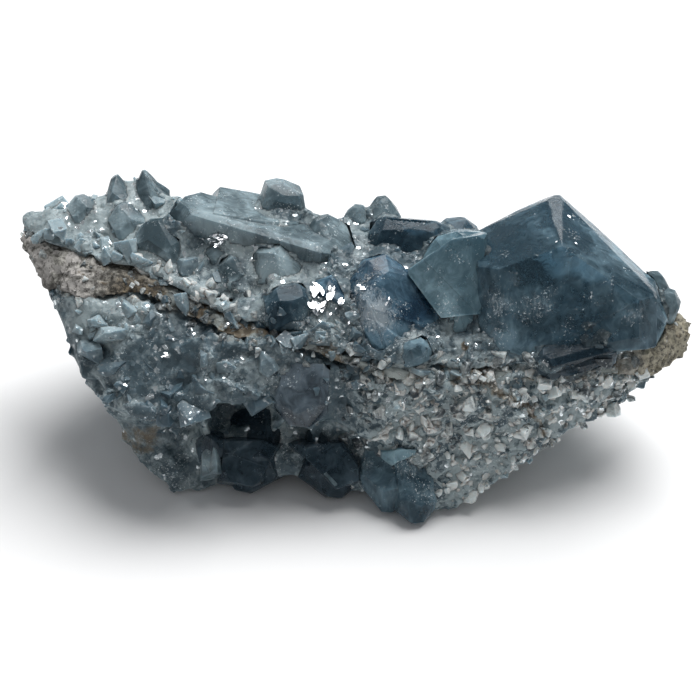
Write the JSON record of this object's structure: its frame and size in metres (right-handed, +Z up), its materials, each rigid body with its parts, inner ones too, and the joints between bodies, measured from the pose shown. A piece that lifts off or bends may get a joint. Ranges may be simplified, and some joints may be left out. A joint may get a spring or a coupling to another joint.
{
  "type": "celestite geode cluster",
  "caption": "Broken piece of a celestite geode wall: blocky blue-grey crystals on both sides of a thin seam of host rock, lying on a small flat spot.",
  "frame": {"origin": "under the middle of the bounding box, on the surface that the specimen lies on", "axes": "+X along the specimen's length towards its largest crystal, +Z up, -Y towards the side with the broken face of the lower bed"},
  "size_m": [0.144, 0.073, 0.0589],
  "materials": {
    "slate_celestite": "polished",
    "pale_celestite": "gloss",
    "massive_celestite": "satin",
    "host_rock": "matte"
  },
  "bodies": {
    "root": {"back_brow_crystal": "slate_celestite", "back_foot_crystal": "slate_celestite", "back_left_crystals": "slate_celestite", "back_left_end_crystal": "slate_celestite", "back_lower_crystal": "slate_celestite", "back_middle_crystals": "slate_celestite", "back_ridge_crystal": "slate_celestite", "back_right_crystals": "slate_celestite", "blade_crystals": "slate_celestite", "crest_crystals": "slate_celestite", "dark_block_crystal": "slate_celestite", "deep_blue_crystal": "slate_celestite", "glint_crystal": "pale_celestite", "hanging_crystal": "pale_celestite", "host_rock_seam": "host_rock", "layered_block_crystal": "slate_celestite", "left_end_crystal": "pale_celestite", "left_peak_crystals": "pale_celestite", "lower_crystal_bed": "massive_celestite", "lower_left_crystals": "slate_celestite", "lower_middle_crystal": "slate_celestite", "lower_right_crystals": "slate_celestite", "mirror_crystal": "slate_celestite", "pale_broad_crystal": "pale_celestite", "right_skyline_crystal": "slate_celestite", "right_tip_crystals": "pale_celestite", "round_pale_crystals": "pale_celestite", "seam_bead_crystal": "slate_celestite", "seam_blade_crystal": "slate_celestite", "skyline_round_crystal": "pale_celestite", "skyline_small_crystal": "pale_celestite", "upper_crystal_bed": "massive_celestite"}
  },
  "joints": []
}
